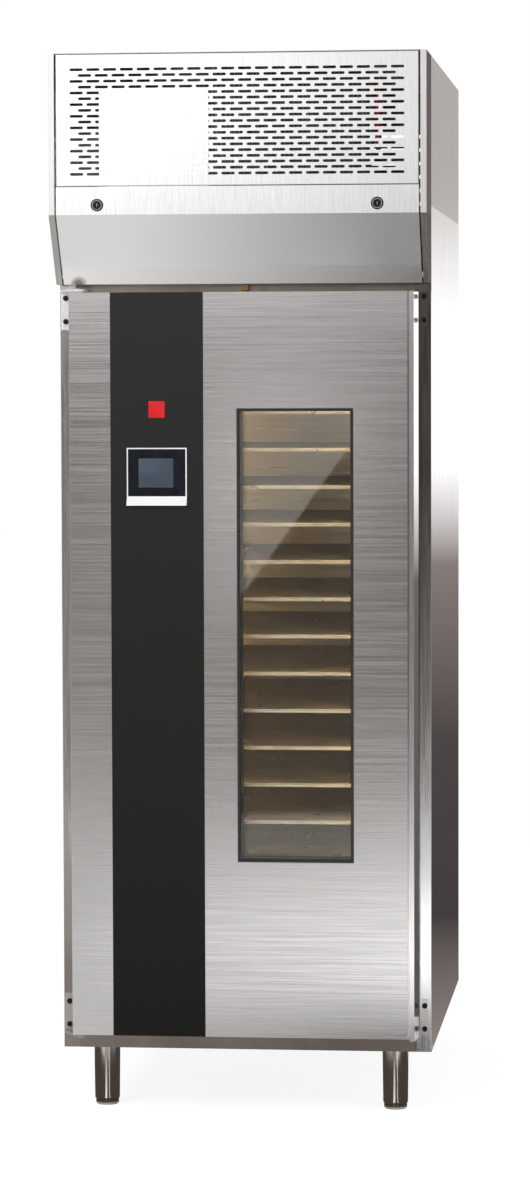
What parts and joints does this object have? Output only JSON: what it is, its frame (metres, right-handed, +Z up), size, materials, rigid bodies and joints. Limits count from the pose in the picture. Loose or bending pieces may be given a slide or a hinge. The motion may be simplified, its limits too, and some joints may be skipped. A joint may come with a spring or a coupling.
{
  "type": "reach-in proofer",
  "caption": "Upright insulated proofing cabinet with a glazed swing door, touch controller, tray racks and a machine hood behind a slotted grille, on adjustable legs.",
  "frame": {"origin": "centre of the footprint's bounding box, on the floor", "axes": "+Z up, -Y towards the front with the door, +X to the right seen from the front"},
  "size_m": [0.75, 1.103, 2.13],
  "materials": {
    "side_steel": "satin",
    "plain_steel": "satin",
    "front_steel": "satin",
    "door_steel": "satin",
    "liner_steel": "gloss",
    "polished_steel": "polished",
    "dark_steel": "satin",
    "foot_steel": "satin",
    "galvanised": "matte",
    "black_metal": "satin",
    "white_metal": "satin",
    "coil_aluminium": "matte",
    "tray_aluminium": "satin",
    "copper": "satin",
    "brass": "satin",
    "foam": "matte",
    "glass": "gloss",
    "black_glass": "gloss",
    "black_panel": "gloss",
    "black_plastic": "matte",
    "silver_plastic": "satin",
    "red_plastic": "gloss",
    "lamp_plastic": "satin",
    "gasket_rubber": "matte"
  },
  "bodies": {
    "cabinet": {"side_panel_left": "side_steel", "side_panel_right": "side_steel", "cabinet_wrap": "plain_steel", "insulation": "foam", "chamber_liner": "liner_steel", "door_frame": "plain_steel", "drain_outlet": "plain_steel", "legs": "polished_steel", "hinge_brackets": "dark_steel", "hinge_pins": "polished_steel", "blank_plates": "dark_steel", "frame_screws": "polished_steel", "hood_cheek_left": "plain_steel", "hood_cheek_right": "plain_steel", "hood_sides": "side_steel", "hood_top": "side_steel", "hood_back": "plain_steel", "perforated_panel": "front_steel", "flap_pins": "polished_steel", "condenser_coil": "coil_aluminium", "condenser_shroud": "galvanised", "condenser_motor": "black_metal", "compressor": "black_metal", "refrigerant_pipes": "copper", "control_box": "white_metal", "humidifier": "liner_steel", "cable_gland": "black_plastic", "door_switch": "brass", "trays": "tray_aluminium", "tray_rack_left": "liner_steel", "tray_rack_right": "liner_steel", "duct_panel": "liner_steel", "air_unit_cover": "liner_steel", "circulation_motor": "black_metal", "evaporator": "coil_aluminium", "heating_element": "liner_steel", "interior_lamps": "lamp_plastic"},
    "door": {"door_skin": "door_steel", "door_grip": "door_steel", "door_liner": "liner_steel", "door_insulation": "foam", "door_gasket": "gasket_rubber", "window_frame": "black_plastic", "window_glass": "glass", "window_trim": "polished_steel", "hinge_bushes": "polished_steel", "black_panel": "black_panel", "controller_bezel": "silver_plastic", "controller_glass": "black_glass", "badge_tile": "red_plastic"},
    "flap": {"fascia_flap": "front_steel", "lock_housings": "polished_steel"},
    "lock_left": {"lock_plug_left": "polished_steel"},
    "lock_right": {"lock_plug_right": "polished_steel"},
    "condenser_fan": {"condenser_fan": "black_plastic"},
    "circulation_fan": {"circulation_fan": "tray_aluminium"},
    "foot_front_left": {"foot_front_left": "foot_steel"},
    "foot_front_right": {"foot_front_right": "foot_steel"},
    "foot_rear_left": {"foot_rear_left": "foot_steel"},
    "foot_rear_right": {"foot_rear_right": "foot_steel"}
  },
  "joints": [
    {"name": "door_swing", "type": "hinge", "parent": "cabinet", "child": "door", "pos_m": [-0.332, -0.4585, 0.913], "axis": [0, 0, -1], "range_deg": [0, 120]},
    {"name": "flap_swing", "type": "hinge", "parent": "cabinet", "child": "flap", "pos_m": [0, -0.45174, 1.69535], "axis": [1, 0, 0], "range_deg": [0, 55]},
    {"name": "lock_left_turn", "type": "hinge", "parent": "flap", "child": "lock_left", "pos_m": [-0.278, -0.5485, 1.831], "axis": [0, -1, 0], "range_deg": [0, 90]},
    {"name": "lock_right_turn", "type": "hinge", "parent": "flap", "child": "lock_right", "pos_m": [0.278, -0.5485, 1.831], "axis": [0, 1, 0], "range_deg": [0, 90]},
    {"name": "condenser_fan_spin", "type": "hinge", "parent": "cabinet", "child": "condenser_fan", "pos_m": [0.095, -0.3962, 1.995], "axis": [0, 1, 0], "continuous": true},
    {"name": "circulation_fan_spin", "type": "hinge", "parent": "cabinet", "child": "circulation_fan", "pos_m": [0, 0.2515, 1.545], "axis": [0, 0, 1], "continuous": true},
    {"name": "foot_front_left_height", "type": "slide", "parent": "cabinet", "child": "foot_front_left", "axis": [0, 0, -1], "range_m": [0, 0.03]},
    {"name": "foot_front_right_height", "type": "slide", "parent": "cabinet", "child": "foot_front_right", "axis": [0, 0, -1], "range_m": [0, 0.03]},
    {"name": "foot_rear_left_height", "type": "slide", "parent": "cabinet", "child": "foot_rear_left", "axis": [0, 0, -1], "range_m": [0, 0.03]},
    {"name": "foot_rear_right_height", "type": "slide", "parent": "cabinet", "child": "foot_rear_right", "axis": [0, 0, -1], "range_m": [0, 0.03]}
  ]
}
